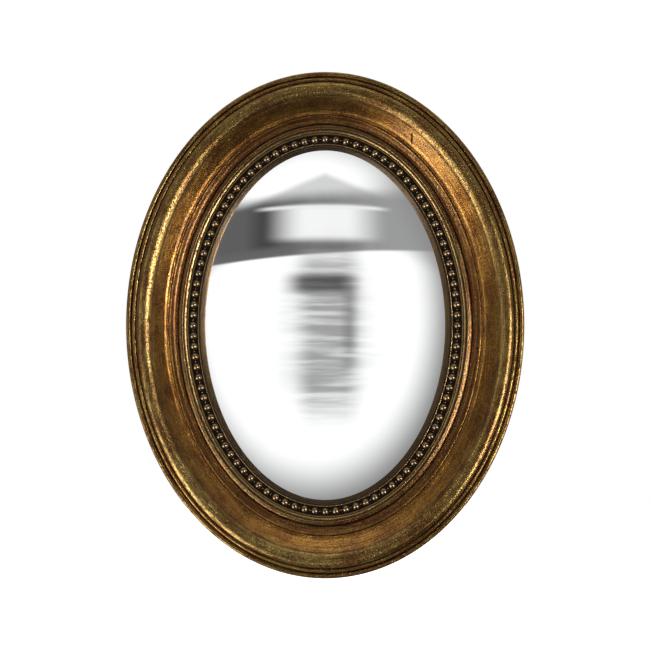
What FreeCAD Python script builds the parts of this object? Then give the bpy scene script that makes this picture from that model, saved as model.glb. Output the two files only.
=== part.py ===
import FreeCAD, Part
import math
import os

import Sketcher

# Oval convex wall mirror with a gilded moulding, taken apart into its real pieces.
#
# Every piece is drawn in one bench frame and then stood up by its Placement.
# On the bench the mirror lies on its back: x to the right, y to the top of the
# oval, and z, called the level, from the wall towards the viewer.  Standing, the
# frame has X to the right, Z up and the wall on the +Y side, and the origin is the
# middle of the oval in the plane of the wall.
STAND_UP = FreeCAD.Placement(FreeCAD.Vector(), FreeCAD.Rotation(FreeCAD.Vector(1, 0, 0), 90))
UP = FreeCAD.Vector(0, 0, 1)
TOLERANCE = 0.01  # millimetres, and cubic millimetres where a cut is tested
SWEEP_TOLERANCE = 0.002  # share of a sweep's volume

# The moulding's section, walked from its foot up the outside, over the front and
# down to the sight edge.  Each row is a break point: its name, its inset from the
# outer edge of the oval, its level, and the radius of the curve to the next
# point: 0 is straight, a positive radius is round and a negative one is hollow.
MOULDING = (
    ("foot", 6.0, 12.5, 0.0),
    ("waist", 6.0, 14.0, -14.0),
    ("side_edge", 0.0, 26.5, 0.0),
    ("rim_bead_start", 0.0, 31.5, 2.2),
    ("rim_bead_end", 3.9, 31.5, 0.0),
    ("rim_quirk", 4.0, 30.7, 0.0),
    ("rim_wall_foot", 4.6, 30.7, 0.0),
    ("second_bead_start", 4.6, 34.8, 1.45),
    ("second_bead_end", 7.3, 34.8, 0.0),
    ("second_quirk", 7.4, 34.2, 0.0),
    ("torus_wall_foot", 8.0, 34.2, 0.0),
    ("torus_start", 8.0, 37.33, 5.4),
    ("crown", 11.9, 39.0, 10.1),
    ("torus_end", 18.39, 36.64, 0.0),
    ("cove_start", 26.96, 29.45, -5.3),
    ("ridge_start", 29.9, 28.2, 0.0),
    ("ridge_end", 30.6, 28.1, 0.0),
    ("incised_line", 30.75, 27.3, 0.0),
    ("incised_line_end", 31.2, 27.3, 0.0),
    ("small_bead_start", 31.3, 27.7, 0.9),
    ("small_bead_end", 32.6, 27.3, -5.4),
    ("cove_end", 37.2, 25.4, 0.0),
    ("astragal_quirk", 37.3, 24.2, 0.0),
    ("astragal_quirk_end", 37.9, 24.2, 0.0),
    ("astragal_start", 37.9, 24.7, 4.0),
    ("crest_start", 40.2, 25.8, 0.75),
    ("crest_end", 41.5, 25.8, 0.0),
    ("crest_foot", 41.6, 25.4, 6.0),
    ("astragal_end", 43.7, 24.8, 0.0),
    ("inner_quirk", 43.8, 23.9, 0.0),
    ("inner_quirk_end", 44.3, 23.9, 0.0),
    ("outer_fillet_start", 44.4, 24.6, 0.0),
    ("outer_fillet_end", 45.3, 24.6, 0.0),
    ("channel_start", 45.5, 22.0, 0.0),
    ("channel_end", 52.0, 22.0, 0.0),
    ("inner_fillet_start", 52.2, 23.9, 0.0),
    ("inner_fillet_end", 53.1, 23.9, 0.0),
    ("lip_start", 53.3, 23.2, 0.0),
    ("lip_end", 53.9, 23.2, 0.0),
    ("sight_foot", 53.9, 12.5, 0.0),
)

# The beaded strip's section, in the same form.
STRIP = (
    ("strip_foot", 45.6, 22.0, 0.0),
    ("strip_top", 45.6, 22.8, 0.0),
    ("strip_far_top", 51.9, 22.8, 0.0),
    ("strip_far_foot", 51.9, 22.0, 0.0),
)

# Driving sizes in millimetres: alias, value, what it is.
SIZES = (
    ("half_width", 145.5, "half the width of the oval"),
    ("half_height", 185.0, "half the height of the oval"),
    ("block_inset", 8.0, "outer edge to the moulding's square back block"),
    ("block_inner_inset", 51.5, "outer edge to the bore the back block starts with"),
    ("block_top", 13.5, "level of the back block's front, inside the moulding"),
    ("ledge_level", 7.5, "wall to the moulding's back face"),
    ("glass_pocket_inset", 47.0, "outer edge to the wall of the glass rebate"),
    ("shoulder_level", 18.6, "wall to the shoulder the glass lies against"),
    ("board_pocket_inset", 44.0, "outer edge to the wall of the board rebate"),
    ("board_thickness", 3.0, "backing board"),
    ("board_play", 0.8, "backing board to its rebate, on the two axes"),
    ("base_outer_inset", 10.0, "outer edge to the base ring"),
    ("base_inner_inset", 20.0, "outer edge to the base ring's opening"),
    ("base_edge_radius", 0.8, "base ring's two rounded back edges"),
    ("dome_radius_x", 225.0, "glass dome: half axis across the mirror"),
    ("dome_radius_y", 322.0, "glass dome: half axis up the mirror"),
    ("dome_radius_level", 225.0, "glass dome: half axis towards the viewer"),
    ("dome_latitude", 58.0, "degrees from the dome's waist at which its cap starts"),
    ("apex_level", 37.8, "wall to the front of the glass at its middle"),
    ("glass_thickness", 3.0, "bent glass"),
    ("glass_play", 1.0, "glass to its rebate, on the two axes"),
    ("felt_outer_inset", 48.4, "outer edge to the felt strip"),
    ("felt_inner_inset", 52.9, "outer edge to the felt strip's bore"),
    ("felt_foot_level", 14.0, "level the felt strip is cut from"),
    ("packing_outer_inset", 48.3, "outer edge to the packing ring"),
    ("packing_inner_inset", 54.0, "outer edge to the packing ring's bore"),
    ("packing_top", 16.5, "level the packing ring is cut from"),
    ("soft_gap", 0.05, "glass to the felt and to the packing"),
    ("bead_inset", 48.6, "outer edge to the row of beads"),
    ("bead_radius", 2.95, "large bead"),
    ("bead_level", 23.35, "level of the large beads' centres"),
    ("pellet_radius", 0.8, "small pellet between two beads"),
    ("pellet_level", 23.1, "level of the pellets' centres"),
    ("button_length", 19.0, "turn button, end to end"),
    ("button_width", 9.0, "turn button"),
    ("button_thickness", 1.2, "turn button"),
    ("button_end_margin", 5.0, "turn button's near end to its hole"),
    ("button_chamfer", 0.35, "turn button's broken edge"),
    ("button_air", 0.12, "ledge to button, and button to screw head"),
    ("button_board_offset", 7.0, "backing board's edge to the button's screw"),
    ("screw_hole_radius", 1.58, "hole in a turn button or in the hanger plate"),
    ("screw_shank_radius", 1.5, "wood screw"),
    ("screw_head_radius", 3.1, "wood screw"),
    ("screw_head_height", 1.5, "wood screw"),
    ("screw_brim_height", 0.525, "straight edge of the rounded head"),
    ("screw_head_crown", 4.0, "radius of the rounded head"),
    ("screw_length", 11.0, "under the head"),
    ("screw_point", 3.0, "tapered point"),
    ("slot_width", 0.8, "screwdriver slot"),
    ("slot_depth", 0.8, "screwdriver slot"),
    ("pilot_depth", 11.0, "pilot hole in the moulding"),
    ("ring_wire_radius", 1.1, "hanging ring's wire"),
    ("ring_half_width", 7.5, "hanging ring, to the middle of its wire"),
    ("ring_corner_radius", 2.5, "hanging ring's two corners"),
    ("ring_side_foot", 4.5, "pivot to the start of the ring's round end"),
    ("pivot_height", 150.5, "middle of the mirror up to the ring's pivot"),
    ("pivot_stand_off", 2.6, "ledge to the ring's pivot"),
    ("plate_half_length", 18.0, "hanger plate"),
    ("plate_half_width", 4.0, "hanger plate"),
    ("plate_thickness", 1.0, "hanger plate"),
    ("plate_screw_offset", 13.0, "middle of the hanger plate to each screw"),
    ("barrel_outer_radius", 2.2, "hanger plate's rolled barrel"),
    ("barrel_bore_radius", 1.18, "hanger plate's rolled barrel"),
    ("barrel_half_length", 4.0, "hanger plate's rolled barrel"),
    ("overrun", 1.0, "how far a cut runs past what it cuts"),
)
BEAD_COUNT = 96
BUTTON_ANGLES = (0, 60, 120, 180, 240, 300)  # degrees of the oval's parameter, from the right
OVAL_STEPS = 7200  # short chords that the beads' own oval is measured with


def make_sheet(doc):
    """Puts every driving size in one sheet, each under its alias."""
    made = doc.addObject("Spreadsheet::Sheet", "Sizes")
    rows = [(alias, value) for alias, value, _ in SIZES]
    for name, inset, level, radius in MOULDING + STRIP:
        rows.append((name + "_inset", inset))
        rows.append((name + "_level", level))
        if radius:
            rows.append((name + "_radius", abs(radius)))
    for number, (alias, value) in enumerate(rows, start=1):
        made.set(f"A{number}", alias)
        made.set(f"B{number}", str(value))
        made.setAlias(f"B{number}", alias)
    doc.recompute()
    return made


doc = FreeCAD.newDocument("ConvexMirror")
sheet = make_sheet(doc)


def size(alias):
    """The value of one cell of the sheet."""
    return float(sheet.get(alias))


def new_body(label, placement=STAND_UP):
    """An empty body with its node name and its place."""
    body = doc.addObject("PartDesign::Body", label)
    body.Label = label
    body.Placement = placement
    return body


def new_sketch(body, name, role, lift=None):
    """A sketch on one of the body's own origin planes, raised along its normal by an expression."""
    sketch = body.newObject("Sketcher::SketchObject", name)
    plane = next(f for f in body.Origin.OriginFeatures if f.Role == role)
    sketch.AttachmentSupport = [(plane, "")]
    sketch.MapMode = "FlatFace"
    if lift:
        sketch.setExpression("AttachmentOffset.Base.z", lift)
    return sketch


def drive(sketch, constraint, name, expression):
    """Adds a named dimension and binds it to the sheet."""
    index = sketch.addConstraint(constraint)
    sketch.renameConstraint(index, name)
    sketch.setExpression(f"Constraints.{name}", expression)


def add_oval(sketch, name, *insets):
    """An ellipse about the sketch's origin, inside the outer edge by the sum of the insets."""
    inset = sum(size(alias) for alias in insets)
    across, up = size("half_width") - inset, size("half_height") - inset
    ellipse = Part.Ellipse(FreeCAD.Vector(0, up, 0), FreeCAD.Vector(across, 0, 0), FreeCAD.Vector())
    index = sketch.addGeometry(ellipse, False)
    sketch.exposeInternalGeometry(index)
    long_axis, short_axis = index + 1, index + 2
    sketch.addConstraint(Sketcher.Constraint("Coincident", index, 3, -1, 1))
    sketch.addConstraint(Sketcher.Constraint("Vertical", long_axis))
    tail = "".join(f" - Sizes.{alias}" for alias in insets)
    drive(sketch, Sketcher.Constraint("Distance", long_axis, 2 * up), name + "_height",
          f"2 * (Sizes.half_height{tail})")
    drive(sketch, Sketcher.Constraint("Distance", short_axis, 2 * across), name + "_width",
          f"2 * (Sizes.half_width{tail})")


def curve_between(start, end, radius):
    """The arc from one point to the next, and which of its ends is the first point."""
    chord = end - start
    half = chord.Length / 2
    side = 1.0 if radius > 0 else -1.0
    across = FreeCAD.Vector(-chord.y, chord.x, 0).normalize() * side
    reach = math.sqrt(max(radius * radius - half * half, 0.0))
    centre = (start + end) * 0.5 + across * reach
    from_centre = [math.atan2(p.y - centre.y, p.x - centre.x) for p in (start, end)]
    if radius < 0:
        from_centre.reverse()
    arc = Part.ArcOfCircle(Part.Circle(centre, UP, abs(radius)), *from_centre)
    return arc, (1, 2) if radius > 0 else (2, 1)


def pin(sketch, geometry, end, axis, name, value, expression):
    """Sets one coordinate of a point: on the sketch's axis where it is 0, and else driven by the sheet."""
    if not value:
        sketch.addConstraint(Sketcher.Constraint("PointOnObject", geometry, end, -2 if axis == "X" else -1))
    elif value > 0:
        drive(sketch, Sketcher.Constraint("Distance" + axis, -1, 1, geometry, end, value), name, expression)
    else:
        drive(sketch, Sketcher.Constraint("Distance" + axis, geometry, end, -1, 1, -value), name,
              f"0 - ({expression})")


def add_circle(sketch, name, centre, alias):
    """A circle whose radius comes from the sheet."""
    circle = sketch.addGeometry(Part.Circle(centre, UP, size(alias)), False)
    drive(sketch, Sketcher.Constraint("Radius", circle, size(alias)), name + "_radius", f"Sizes.{alias}")
    return circle


def add_loop(sketch, points):
    """Straight sides from point to point and back to the first."""
    sides = [sketch.addGeometry(Part.LineSegment(p, q), False)
             for p, q in zip(points, points[1:] + points[:1])]
    for first, second in zip(sides, sides[1:] + sides[:1]):
        sketch.addConstraint(Sketcher.Constraint("Coincident", first, 2, second, 1))
    return sides


def add_section(sketch, rows):
    """A closed section whose break points and radii all come from the sheet."""
    points = [FreeCAD.Vector(size("half_width") - inset, level, 0) for _, inset, level, _ in rows]
    ends = []
    for (_, _, _, radius), start, end in zip(rows, points, points[1:] + points[:1]):
        if radius:
            arc, order = curve_between(start, end, radius)
            index = sketch.addGeometry(arc, False)
        else:
            order = (1, 2)
            index = sketch.addGeometry(Part.LineSegment(start, end), False)
        ends.append((index, order))
    for i, (name, _, _, radius) in enumerate(rows):
        index, order = ends[i]
        before, order_before = ends[i - 1]
        sketch.addConstraint(Sketcher.Constraint("Coincident", before, order_before[1], index, order[0]))
        pin(sketch, index, order[0], "X", name + "_x", points[i].x,
            f"Sizes.half_width - Sizes.{name}_inset")
        pin(sketch, index, order[0], "Y", name + "_y", points[i].y, f"Sizes.{name}_level")
        if radius:
            drive(sketch, Sketcher.Constraint("Radius", index, abs(radius)), name + "_r",
                  f"Sizes.{name}_radius")


def add_pad(body, name, sketch, length):
    """A pad along the sketch's normal, its length bound to the sheet."""
    pad = body.newObject("PartDesign::Pad", name)
    pad.Profile = sketch
    pad.setExpression("Length", length)
    return pad


def add_pocket(body, name, sketch, depth, reverse):
    """A pocket from the sketch, which has to take something away."""
    doc.recompute()
    before = body.Shape.Volume
    pocket = body.newObject("PartDesign::Pocket", name)
    pocket.Profile = sketch
    pocket.Reversed = reverse
    pocket.setExpression("Length", depth)
    doc.recompute()
    if not body.Shape.Volume < before - TOLERANCE:
        raise RuntimeError(f"{name} cuts nothing")
    return pocket


def oval_point(angle, inset):
    """The point inset from the oval where its parameter is angle, and the outward normal there."""
    a, b = size("half_width"), size("half_height")
    normal = FreeCAD.Vector(math.cos(angle) / a, math.sin(angle) / b, 0).normalize()
    return FreeCAD.Vector(a * math.cos(angle), b * math.sin(angle), 0) - normal * inset, normal


def make_path(body):
    """The oval's outer edge, which the sections run along."""
    path = new_sketch(body, body.Label + "_path", "XY_Plane")
    add_oval(path, "edge")
    return path


def add_pipe(body, name, section, path):
    """The section carried square round the oval."""
    doc.recompute()
    pipe = body.newObject("PartDesign::AdditivePipe", name)
    pipe.Profile = section
    pipe.Spine = (path, ["Edge1"])
    return pipe


def screw_places():
    """Where the screws enter the ledge: six for the turn buttons, then two for the hanger."""
    places = []
    for degrees in BUTTON_ANGLES:
        inset = size("board_pocket_inset") - size("button_board_offset")
        places.append(oval_point(math.radians(degrees), inset))
    for side in (-1, 1):
        place = FreeCAD.Vector(side * size("plate_screw_offset"), size("pivot_height"), 0)
        places.append((place, FreeCAD.Vector(0, 1, 0)))
    return places


def make_frame_moulding():
    """The carved and gilded ring: a swept front on a square back block, rebated for glass and board."""
    body = new_body("frame_moulding")
    block = new_sketch(body, "moulding_block", "XY_Plane", "Sizes.ledge_level")
    add_oval(block, "outside", "block_inset")
    add_oval(block, "inside", "block_inner_inset")
    add_pad(body, "moulding_block_pad", block, "Sizes.block_top - Sizes.ledge_level")
    path = make_path(body)
    section = new_sketch(body, "moulding_section", "XZ_Plane")
    add_section(section, MOULDING)
    add_pipe(body, "moulding_sweep", section, path)
    for name, inset, depth in (
        ("glass_rebate", "glass_pocket_inset", "Sizes.shoulder_level - Sizes.ledge_level"),
        ("board_rebate", "board_pocket_inset", "Sizes.board_thickness"),
    ):
        outline = new_sketch(body, name + "_outline", "XY_Plane", "Sizes.ledge_level")
        add_oval(outline, "outline", inset)
        add_pocket(body, name, outline, depth, True)
    pilots = new_sketch(body, "pilot_outline", "XY_Plane", "Sizes.ledge_level")
    for number, (place, _) in enumerate(screw_places(), start=1):
        pilot = add_circle(pilots, f"pilot_{number}", place, "screw_shank_radius")
        for kind, value in (("DistanceX", place.x), ("DistanceY", place.y)):
            pilots.addConstraint(Sketcher.Constraint(kind, -1, 1, pilot, 3, value))
    add_pocket(body, "pilot_holes", pilots, "Sizes.pilot_depth", True)
    return body


def make_base_ring():
    """The plain ring behind the moulding that stands on the wall and hides the fittings."""
    body = new_body("base_ring")
    outline = new_sketch(body, "base_outline", "XY_Plane")
    add_oval(outline, "outside", "base_outer_inset")
    add_oval(outline, "inside", "base_inner_inset")
    pad = add_pad(body, "base_pad", outline, "Sizes.ledge_level")
    doc.recompute()
    edges = [f"Edge{i + 1}" for i, e in enumerate(pad.Shape.Edges) if e.BoundBox.ZMax < TOLERANCE]
    rounded = body.newObject("PartDesign::Fillet", "base_edges")
    rounded.Base = (pad, edges)
    rounded.setExpression("Radius", "Sizes.base_edge_radius")
    return body


def make_ring_prism(label, outer_inset, inner_inset, low, high):
    """A ring of upright walls between two insets and two levels, as a body to cut from."""
    body = doc.addObject("PartDesign::Body", label)
    outline = new_sketch(body, label + "_outline", "XY_Plane", low)
    add_oval(outline, "outside", outer_inset)
    add_oval(outline, "inside", inner_inset)
    add_pad(body, label + "_pad", outline, f"{high} - {low}")
    return body


def make_dome(label, shrink):
    """The ellipsoid whose cap is one face of the bent glass, a stated amount inside the front face."""
    dome = doc.addObject("Part::Ellipsoid", label)
    dome.setExpression("Radius1", f"Sizes.dome_radius_level - ({shrink})")
    dome.setExpression("Radius2", f"Sizes.dome_radius_x - ({shrink})")
    dome.setExpression("Radius3", f"Sizes.dome_radius_y - ({shrink})")
    dome.setExpression("Angle1", "Sizes.dome_latitude")
    dome.setExpression("Placement.Base.z", "Sizes.apex_level - Sizes.dome_radius_level")
    return dome


def boolean(kind, label, base, tool):
    """One boolean of two solids."""
    made = doc.addObject(f"Part::{kind}", label)
    made.Base, made.Tool = base, tool
    return made


def make_glass():
    """Bent glass of one thickness, its front a shallow dome, its rim ground square."""
    rim = doc.addObject("PartDesign::Body", "glass_rim_prism")
    outline = new_sketch(rim, "glass_outline", "XY_Plane")
    add_oval(outline, "outline", "glass_pocket_inset", "glass_play")
    add_pad(rim, "glass_rim_pad", outline, "Sizes.apex_level + Sizes.overrun")
    front = make_dome("glass_front_dome", "0")
    back = make_dome("glass_back_dome", "Sizes.glass_thickness")
    disc = boolean("Common", "glass_disc", rim, front)
    glass = boolean("Cut", "convex_glass", disc, back)
    glass.Placement = STAND_UP
    return glass


def make_felt():
    """A soft strip in the rebate's corner that the glass beds against."""
    prism = make_ring_prism("felt_prism", "felt_outer_inset", "felt_inner_inset",
                            "Sizes.felt_foot_level", "Sizes.shoulder_level")
    glass_face = make_dome("felt_glass_face", "-Sizes.soft_gap")
    felt = boolean("Cut", "rebate_felt", prism, glass_face)
    felt.Placement = STAND_UP
    return felt


def make_packing():
    """A ring of pressed card behind the glass's margin, which the backing board presses on."""
    prism = make_ring_prism("packing_prism", "packing_outer_inset", "packing_inner_inset",
                            "Sizes.ledge_level + Sizes.board_thickness", "Sizes.packing_top")
    glass_face = make_dome("packing_glass_face", "Sizes.glass_thickness + Sizes.soft_gap")
    packing = boolean("Common", "packing_ring", prism, glass_face)
    packing.Placement = STAND_UP
    return packing


def make_board():
    """The thin oval board that closes the back, flush with the ledge."""
    body = new_body("backing_board")
    outline = new_sketch(body, "board_outline", "XY_Plane", "Sizes.ledge_level")
    add_oval(outline, "outline", "board_pocket_inset", "board_play")
    add_pad(body, "board_pad", outline, "Sizes.board_thickness")
    return body


def bead_places():
    """Even places along the beads' oval from the middle of the right side, and those halfway between."""
    points = [oval_point(2 * math.pi * i / OVAL_STEPS, size("bead_inset"))[0]
              for i in range(OVAL_STEPS + 1)]
    travelled = [0.0]
    for before, after in zip(points, points[1:]):
        travelled.append(travelled[-1] + (after - before).Length)
    pitch = travelled[-1] / BEAD_COUNT
    places, at = [], 0
    for number in range(2 * BEAD_COUNT):
        wanted = pitch * number / 2
        while travelled[at + 1] < wanted:
            at += 1
        share = (wanted - travelled[at]) / (travelled[at + 1] - travelled[at])
        places.append(points[at] + (points[at + 1] - points[at]) * share)
    print(f"bead pitch {pitch:.3f} mm")
    return places[0::2], places[1::2]


def make_bead_course():
    """A moulded strip with a row of beads and a small pellet between each two."""
    strip = doc.addObject("PartDesign::Body", "bead_strip")
    path = make_path(strip)
    section = new_sketch(strip, "strip_section", "XZ_Plane")
    add_section(section, STRIP)
    add_pipe(strip, "strip_sweep", section, path)
    balls = [strip]
    beads, pellets = bead_places()
    flat_level = (size("strip_foot_level") + size("strip_top_level")) / 2
    for name, places in (("bead", beads), ("pellet", pellets)):
        level = size(name + "_level")
        flat = math.degrees(math.asin((flat_level - level) / size(name + "_radius")))
        for number, place in enumerate(places, start=1):
            ball = doc.addObject("Part::Sphere", f"{name}_{number}")
            ball.setExpression("Radius", f"Sizes.{name}_radius")
            ball.Angle1 = flat
            ball.Placement.Base = FreeCAD.Vector(place.x, place.y, level)
            balls.append(ball)
    course = doc.addObject("Part::MultiFuse", "bead_course")
    course.Shapes = balls
    course.Placement = STAND_UP
    return course


def on_ledge(place, normal, stand_off):
    """A placement behind the ledge's back face whose x runs to the middle of the oval and z to the wall."""
    inward = math.degrees(math.atan2(-normal.y, -normal.x))
    bench = FreeCAD.Placement(FreeCAD.Vector(place.x, place.y, size("ledge_level") - stand_off),
                              FreeCAD.Rotation(FreeCAD.Vector(0, 0, 1), inward))
    face_wall = FreeCAD.Placement(FreeCAD.Vector(), FreeCAD.Rotation(FreeCAD.Vector(1, 0, 0), 180))
    return STAND_UP.multiply(bench).multiply(face_wall)


def add_round_ended_bar(sketch, near, far, half_width):
    """A bar along the sketch's x whose half-round ends are centred at near and far; gives its outline."""
    left = Part.Circle(FreeCAD.Vector(near, 0, 0), UP, half_width)
    right = Part.Circle(FreeCAD.Vector(far, 0, 0), UP, half_width)
    left_end = sketch.addGeometry(Part.ArcOfCircle(left, math.pi / 2, 3 * math.pi / 2), False)
    low_side = sketch.addGeometry(
        Part.LineSegment(FreeCAD.Vector(near, -half_width, 0), FreeCAD.Vector(far, -half_width, 0)), False)
    right_end = sketch.addGeometry(Part.ArcOfCircle(right, -math.pi / 2, math.pi / 2), False)
    high_side = sketch.addGeometry(
        Part.LineSegment(FreeCAD.Vector(far, half_width, 0), FreeCAD.Vector(near, half_width, 0)), False)
    outline = (left_end, low_side, right_end, high_side)
    for first, second in zip(outline, outline[1:] + outline[:1]):
        sketch.addConstraint(Sketcher.Constraint("Tangent", first, 2, second, 1))
    sketch.addConstraint(Sketcher.Constraint("Horizontal", low_side))
    return outline


def make_turn_button(number, place, normal):
    """A flat brass catch that turns on its screw and holds the board."""
    body = new_body(f"turn_button_{number}", on_ledge(place, normal, size("button_air")))
    outline = new_sketch(body, f"button_outline_{number}", "XY_Plane")
    end = size("button_width") / 2
    near = end - size("button_end_margin")
    straight = size("button_length") - size("button_width")
    near_end, _, far_end, _ = add_round_ended_bar(outline, near, near + straight, end)
    outline.addConstraint(Sketcher.Constraint("PointOnObject", near_end, 3, -1))
    drive(outline, Sketcher.Constraint("Radius", near_end, end), "end_radius", "Sizes.button_width / 2")
    pin(outline, near_end, 3, "X", "near_end", near, "Sizes.button_width / 2 - Sizes.button_end_margin")
    drive(outline, Sketcher.Constraint("DistanceX", near_end, 3, far_end, 3, straight), "straight",
          "Sizes.button_length - Sizes.button_width")
    eye = add_circle(outline, "eye", FreeCAD.Vector(), "screw_hole_radius")
    outline.addConstraint(Sketcher.Constraint("Coincident", eye, 3, -1, 1))
    pad = add_pad(body, f"button_pad_{number}", outline, "Sizes.button_thickness")
    doc.recompute()
    eye_width = 2 * size("screw_hole_radius") + TOLERANCE
    top, rim = size("button_thickness"), []
    for index, edge in enumerate(pad.Shape.Edges, start=1):
        box = edge.BoundBox
        if abs(box.ZMin - top) < TOLERANCE and max(box.XLength, box.YLength) > eye_width:
            rim.append(f"Edge{index}")
    broken = body.newObject("PartDesign::Chamfer", f"button_edge_{number}")
    broken.Base = (pad, rim)
    broken.setExpression("Size", "Sizes.button_chamfer")
    return body


def add_screw_section(section):
    """Half of a round-headed wood screw, standing on its point, to turn about the sketch's y."""
    corners = (
        ("point", "screw_shank_radius", "Sizes.screw_point - Sizes.screw_length",
         size("screw_point") - size("screw_length")),
        ("neck", "screw_shank_radius", "", 0.0),
        ("brim", "screw_head_radius", "", 0.0),
        ("brim_edge", "screw_head_radius", "Sizes.screw_brim_height", size("screw_brim_height")),
    )
    tip = FreeCAD.Vector(0, -size("screw_length"), 0)
    crown = FreeCAD.Vector(0, size("screw_head_height"), 0)
    points = [tip] + [FreeCAD.Vector(size(across), level, 0) for _, across, _, level in corners]
    lines = [section.addGeometry(Part.LineSegment(p, q), False) for p, q in zip(points, points[1:])]
    arc, order = curve_between(points[-1], crown, size("screw_head_crown"))
    dome = section.addGeometry(arc, False)
    axis = section.addGeometry(Part.LineSegment(crown, tip), False)
    for first, second in zip(lines, lines[1:]):
        section.addConstraint(Sketcher.Constraint("Coincident", first, 2, second, 1))
    section.addConstraint(Sketcher.Constraint("Coincident", lines[-1], 2, dome, order[0]))
    section.addConstraint(Sketcher.Constraint("Coincident", dome, order[1], axis, 1))
    section.addConstraint(Sketcher.Constraint("Coincident", axis, 2, lines[0], 1))
    for line, (name, across, expression, level) in zip(lines, corners):
        pin(section, line, 2, "X", name + "_x", size(across), f"Sizes.{across}")
        pin(section, line, 2, "Y", name + "_y", level, expression)
    pin(section, lines[0], 1, "X", "tip_x", tip.x, "")
    pin(section, lines[0], 1, "Y", "tip_y", tip.y, "0 - Sizes.screw_length")
    pin(section, axis, 1, "X", "crown_x", crown.x, "")
    pin(section, axis, 1, "Y", "crown_y", crown.y, "Sizes.screw_head_height")
    drive(section, Sketcher.Constraint("Radius", dome, size("screw_head_crown")), "crown_radius",
          "Sizes.screw_head_crown")


def make_screw(label, place, normal, stack):
    """A round-headed slotted wood screw through a stack of stated height on the ledge."""
    body = new_body(label, on_ledge(place, normal, stack))
    section = new_sketch(body, label + "_section", "XZ_Plane")
    add_screw_section(section)
    doc.recompute()
    turned = body.newObject("PartDesign::Revolution", label + "_turned")
    turned.Profile = section
    turned.ReferenceAxis = (section, ["V_Axis"])
    turned.Angle = 360
    doc.recompute()
    slot = new_sketch(body, label + "_slot", "XY_Plane", "Sizes.screw_head_height - Sizes.slot_depth")
    half_width = size("slot_width") / 2
    half_length = size("screw_head_radius") + size("overrun") / 2
    sides = add_loop(slot, [FreeCAD.Vector(-half_length, -half_width, 0),
                            FreeCAD.Vector(half_length, -half_width, 0),
                            FreeCAD.Vector(half_length, half_width, 0),
                            FreeCAD.Vector(-half_length, half_width, 0)])
    for index, word in zip(sides, ("Horizontal", "Vertical", "Horizontal", "Vertical")):
        slot.addConstraint(Sketcher.Constraint(word, index))
    slot.addConstraint(Sketcher.Constraint("Symmetric", sides[0], 1, sides[2], 1, -1, 1))
    drive(slot, Sketcher.Constraint("Distance", sides[0], 2 * half_length), "long",
          "2 * Sizes.screw_head_radius + Sizes.overrun")
    drive(slot, Sketcher.Constraint("Distance", sides[1], 2 * half_width), "wide", "Sizes.slot_width")
    add_pocket(body, label + "_slot_cut", slot, "Sizes.slot_depth + Sizes.overrun", True)
    return body


def make_hanger_plate():
    """A brass strap with two screw holes and a barrel rolled from it for the ring."""
    place = FreeCAD.Vector(0, size("pivot_height"), 0)
    body = new_body("hanger_plate", on_ledge(place, FreeCAD.Vector(-1, 0, 0), 0))
    outline = new_sketch(body, "plate_outline", "XY_Plane")
    half_width = size("plate_half_width")
    far = size("plate_half_length") - half_width
    left_end, _, right_end, _ = add_round_ended_bar(outline, -far, far, half_width)
    outline.addConstraint(Sketcher.Constraint("Symmetric", left_end, 3, right_end, 3, -1, 1))
    drive(outline, Sketcher.Constraint("Radius", left_end, half_width), "end_radius",
          "Sizes.plate_half_width")
    drive(outline, Sketcher.Constraint("DistanceX", left_end, 3, right_end, 3, 2 * far), "straight",
          "2 * (Sizes.plate_half_length - Sizes.plate_half_width)")
    for name, sign in (("left", -1), ("right", 1)):
        across = sign * size("plate_screw_offset")
        hole = add_circle(outline, name, FreeCAD.Vector(across, 0, 0), "screw_hole_radius")
        outline.addConstraint(Sketcher.Constraint("PointOnObject", hole, 3, -1))
        pin(outline, hole, 3, "X", name + "_hole", across, f"{sign} * Sizes.plate_screw_offset")
    add_pad(body, "plate_pad", outline, "Sizes.plate_thickness")
    for name, alias, kind, length in (
        ("barrel", "barrel_outer_radius", "PartDesign::Pad", "2 * Sizes.barrel_half_length"),
        ("barrel_bore", "barrel_bore_radius", "PartDesign::Pocket",
         "2 * (Sizes.barrel_half_length + Sizes.overrun)"),
    ):
        round_end = new_sketch(body, name + "_outline", "YZ_Plane")
        centre = FreeCAD.Vector(0, size("pivot_stand_off"), 0)
        circle = add_circle(round_end, name, centre, alias)
        pin(round_end, circle, 3, "X", "middle", centre.x, "")
        pin(round_end, circle, 3, "Y", "height", centre.y, "Sizes.pivot_stand_off")
        doc.recompute()
        before = body.Shape.Volume
        feature = body.newObject(kind, name)
        feature.Profile = round_end
        feature.Midplane = True
        feature.setExpression("Length", length)
        doc.recompute()
        if abs(body.Shape.Volume - before) < TOLERANCE:
            raise RuntimeError(f"{name} changes nothing")
    return body


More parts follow.
